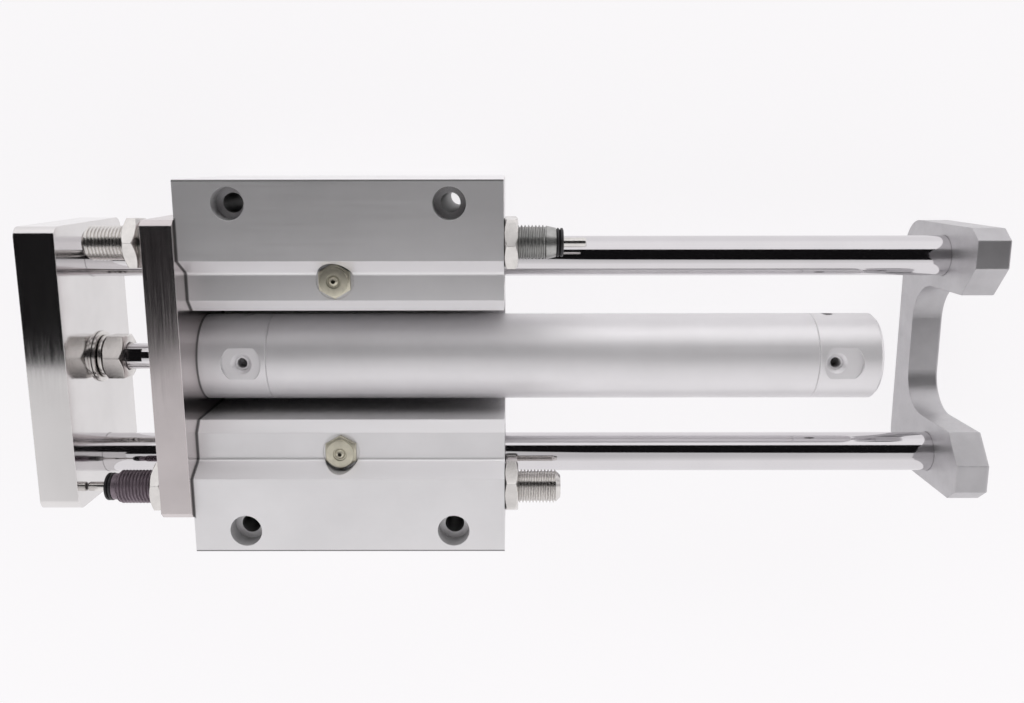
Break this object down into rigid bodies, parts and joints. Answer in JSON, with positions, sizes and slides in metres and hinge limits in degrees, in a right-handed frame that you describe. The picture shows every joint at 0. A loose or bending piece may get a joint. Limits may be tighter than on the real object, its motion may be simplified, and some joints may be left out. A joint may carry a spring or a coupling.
{
  "type": "guided pneumatic cylinder",
  "caption": "Guided air cylinder: an extruded body with a flange carries a round cylinder, and two guide rods join a front plate and a U-shaped rear plate, with adjustable stops.",
  "frame": {"origin": "on the guide body's mounting face, midway between its four mounting holes", "axes": "+X along the guide rods towards the rear plate, so the cylinder extends along -X; +Z out of the body away from its mounting face; +Y across the two rods, towards the rod beside the rear shock absorber"},
  "size_m": [0.278, 0.1084, 0.056],
  "materials": {
    "anodised_body": "clear anodised, satin",
    "anodised_cylinder": "clear anodised, matte",
    "brushed_nickel": "nickel plated over brushed steel",
    "mirror_nickel": "nickel plated, polished",
    "hard_chrome": "hard chrome, ground and polished",
    "silver_paint": "silver paint, semi-gloss",
    "zinc_steel": "zinc plated",
    "black_screw": "black oxide",
    "nipple_brass": "yellow zinc plated",
    "front_absorber_brown": "dark brown oxide",
    "rear_absorber_grey": "dark grey oxide",
    "absorber_cap_black": "black oxide",
    "bronze": "sintered bronze",
    "seal_rubber": "nitrile rubber",
    "felt": "greased felt",
    "wear_resin": "bearing resin",
    "piston_aluminium": "machined"
  },
  "bodies": {
    "guide_unit": {"guide_body": "anodised_body", "front_guide_bushes": "bronze", "rear_guide_bushes": "bronze", "rod_wipers": "seal_rubber", "grease_felts": "felt", "grease_nipples": "nipple_brass", "front_flange": "brushed_nickel", "flange_screws": "black_screw", "cylinder_screws": "black_screw", "rod_cover": "anodised_cylinder", "cylinder_tube": "anodised_cylinder", "head_cover": "anodised_cylinder", "tube_gaskets": "seal_rubber", "piston_bumpers": "seal_rubber", "rod_bush": "bronze", "rod_seal": "seal_rubber", "seal_ring": "zinc_steel", "front_adjusting_bolt": "zinc_steel", "front_bolt_nut": "zinc_steel", "rear_adjusting_bolt": "zinc_steel", "rear_bolt_nut": "zinc_steel", "front_absorber_body": "front_absorber_brown", "front_absorber_cap": "absorber_cap_black", "front_absorber_nut": "zinc_steel", "rear_absorber_body": "rear_absorber_grey", "rear_absorber_cap": "absorber_cap_black", "rear_absorber_nut": "zinc_steel"},
    "moving_frame": {"front_plate": "mirror_nickel", "rear_plate": "silver_paint", "front_plate_screws": "black_screw", "rear_plate_screws": "black_screw", "upper_guide_rod": "hard_chrome", "lower_guide_rod": "hard_chrome", "piston_rod": "hard_chrome", "rod_nut": "zinc_steel", "rod_front_nut": "zinc_steel", "flat_washer": "zinc_steel", "spring_washer": "zinc_steel", "piston": "piston_aluminium", "piston_seal": "seal_rubber", "wear_ring": "wear_resin"},
    "front_plunger": {"front_plunger": "zinc_steel"},
    "rear_plunger": {"rear_plunger": "zinc_steel"}
  },
  "joints": [
    {"name": "frame_slide", "type": "slide", "parent": "guide_unit", "child": "moving_frame", "axis": [-1, 0, 0], "range_m": [0, 0.1089]},
    {"name": "front_plunger_slide", "type": "slide", "parent": "guide_unit", "child": "front_plunger", "axis": [1, 0, 0], "range_m": [0, 0.0055], "stiffness_N_per_m": 377, "springref_m": -0.012},
    {"name": "rear_plunger_slide", "type": "slide", "parent": "guide_unit", "child": "rear_plunger", "axis": [-1, 0, 0], "range_m": [0, 0.0063], "stiffness_N_per_m": 377, "springref_m": -0.0112}
  ]
}
